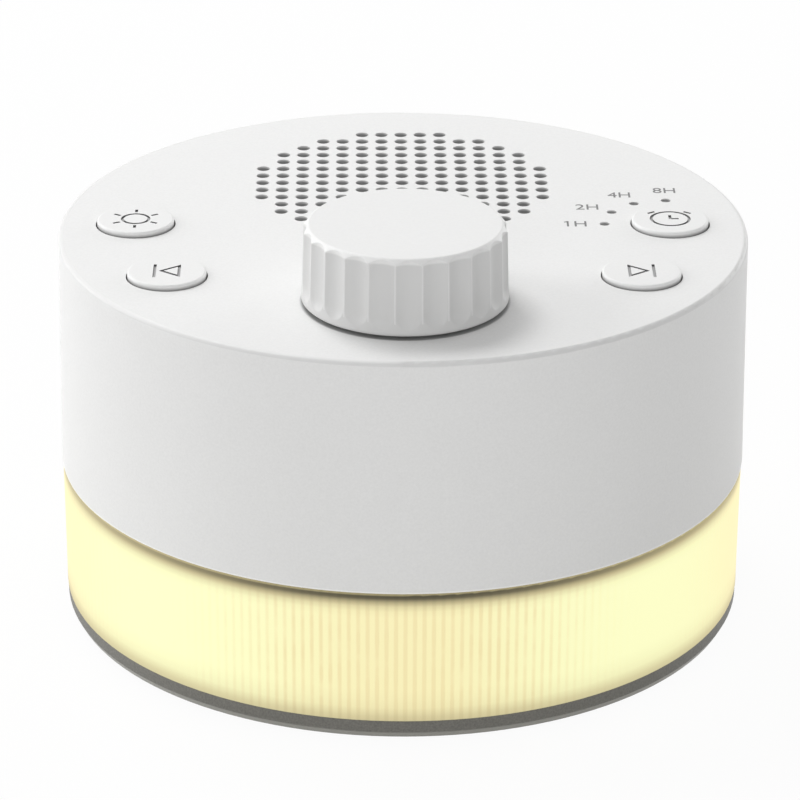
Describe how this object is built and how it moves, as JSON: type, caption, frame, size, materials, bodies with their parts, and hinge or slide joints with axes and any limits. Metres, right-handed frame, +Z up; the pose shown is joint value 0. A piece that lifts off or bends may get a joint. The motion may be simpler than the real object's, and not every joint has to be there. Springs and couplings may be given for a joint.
{
  "type": "white noise sound machine",
  "caption": "Round white sound machine with a fluted volume knob, push buttons and sound holes on its deck, over a glowing lamp ring and a grey base.",
  "frame": {"origin": "centre of the round body, on the plane that the feet stand on", "axes": "+Z up along the body's axis; -Y is the front, where the knob is; +X is the user's right"},
  "size_m": [0.1058, 0.1058, 0.0726],
  "materials": {
    "white_plastic": "fine matt white",
    "knob_plastic": "fine matt white",
    "button_plastic": "fine matt white",
    "lamp_plastic": "translucent, frosted, lit from inside",
    "base_plastic": "matt warm grey",
    "foot_rubber": "soft black",
    "inner_plastic": "plain white",
    "clear_plastic": "frosted clear",
    "screen_cloth": "fine grey mesh",
    "foam": "soft foam",
    "speaker_frame": "black",
    "magnet_steel": "plated",
    "cone_paper": "pressed paper",
    "surround_rubber": "soft black",
    "board": "green laminate",
    "chip_plastic": "black",
    "led_plastic": "yellow phosphor",
    "plated_steel": "bright plated",
    "shaft_metal": "machined",
    "screw_steel": "zinc plated",
    "battery_foil": "laminated foil"
  },
  "bodies": {
    "housing": {"upper_housing": "white_plastic", "lamp_shell": "lamp_plastic", "ribbed_diffuser": "lamp_plastic", "base_tray": "base_plastic", "rubber_feet": "foot_rubber", "chassis_plate": "inner_plastic", "reflector": "inner_plastic", "socket_tongue": "inner_plastic", "tact_switches": "inner_plastic", "timer_light_guide": "clear_plastic", "dust_screen": "screen_cloth", "speaker_gasket": "foam", "battery_pad": "foam", "speaker_basket": "speaker_frame", "speaker_magnet": "magnet_steel", "speaker_cone": "cone_paper", "speaker_dust_cap": "cone_paper", "speaker_surround": "surround_rubber", "control_board": "board", "socket_board": "board", "led_board": "board", "board_components": "chip_plastic", "lamp_leds": "led_plastic", "timer_leds": "led_plastic", "charging_socket": "plated_steel", "encoder_case": "plated_steel", "encoder_washer": "plated_steel", "encoder_nut": "plated_steel", "encoder_bushing": "shaft_metal", "speaker_screws": "screw_steel", "board_screws": "screw_steel", "chassis_screws": "screw_steel", "base_screws": "screw_steel", "socket_board_screws": "screw_steel", "led_board_screws": "screw_steel", "battery": "battery_foil"},
    "knob_press_carrier": {"encoder_plunger": "inner_plastic"},
    "knob": {"volume_knob": "knob_plastic", "encoder_shaft": "shaft_metal"},
    "light_key": {"light_button": "button_plastic", "light_plunger": "inner_plastic"},
    "previous_key": {"previous_button": "button_plastic", "previous_plunger": "inner_plastic"},
    "next_key": {"next_button": "button_plastic", "next_plunger": "inner_plastic"},
    "timer_key": {"timer_button": "button_plastic", "timer_plunger": "inner_plastic"}
  },
  "joints": [
    {"name": "knob_press", "type": "slide", "parent": "housing", "child": "knob_press_carrier", "axis": [0, 0, -1], "range_m": [0, 0.0004], "stiffness_N_per_m": 2500, "springref_m": -0.001},
    {"name": "knob_turn", "type": "hinge", "parent": "knob_press_carrier", "child": "knob", "pos_m": [0, -0.029, 0], "axis": [0, 0, 1], "continuous": true},
    {"name": "light_press", "type": "slide", "parent": "housing", "child": "light_key", "axis": [0, 0, -1], "range_m": [0, 0.0004], "stiffness_N_per_m": 1200, "springref_m": -0.001},
    {"name": "previous_press", "type": "slide", "parent": "housing", "child": "previous_key", "axis": [0, 0, -1], "range_m": [0, 0.0004], "stiffness_N_per_m": 1200, "springref_m": -0.001},
    {"name": "next_press", "type": "slide", "parent": "housing", "child": "next_key", "axis": [0, 0, -1], "range_m": [0, 0.0004], "stiffness_N_per_m": 1200, "springref_m": -0.001},
    {"name": "timer_press", "type": "slide", "parent": "housing", "child": "timer_key", "axis": [0, 0, -1], "range_m": [0, 0.0004], "stiffness_N_per_m": 1200, "springref_m": -0.001}
  ]
}
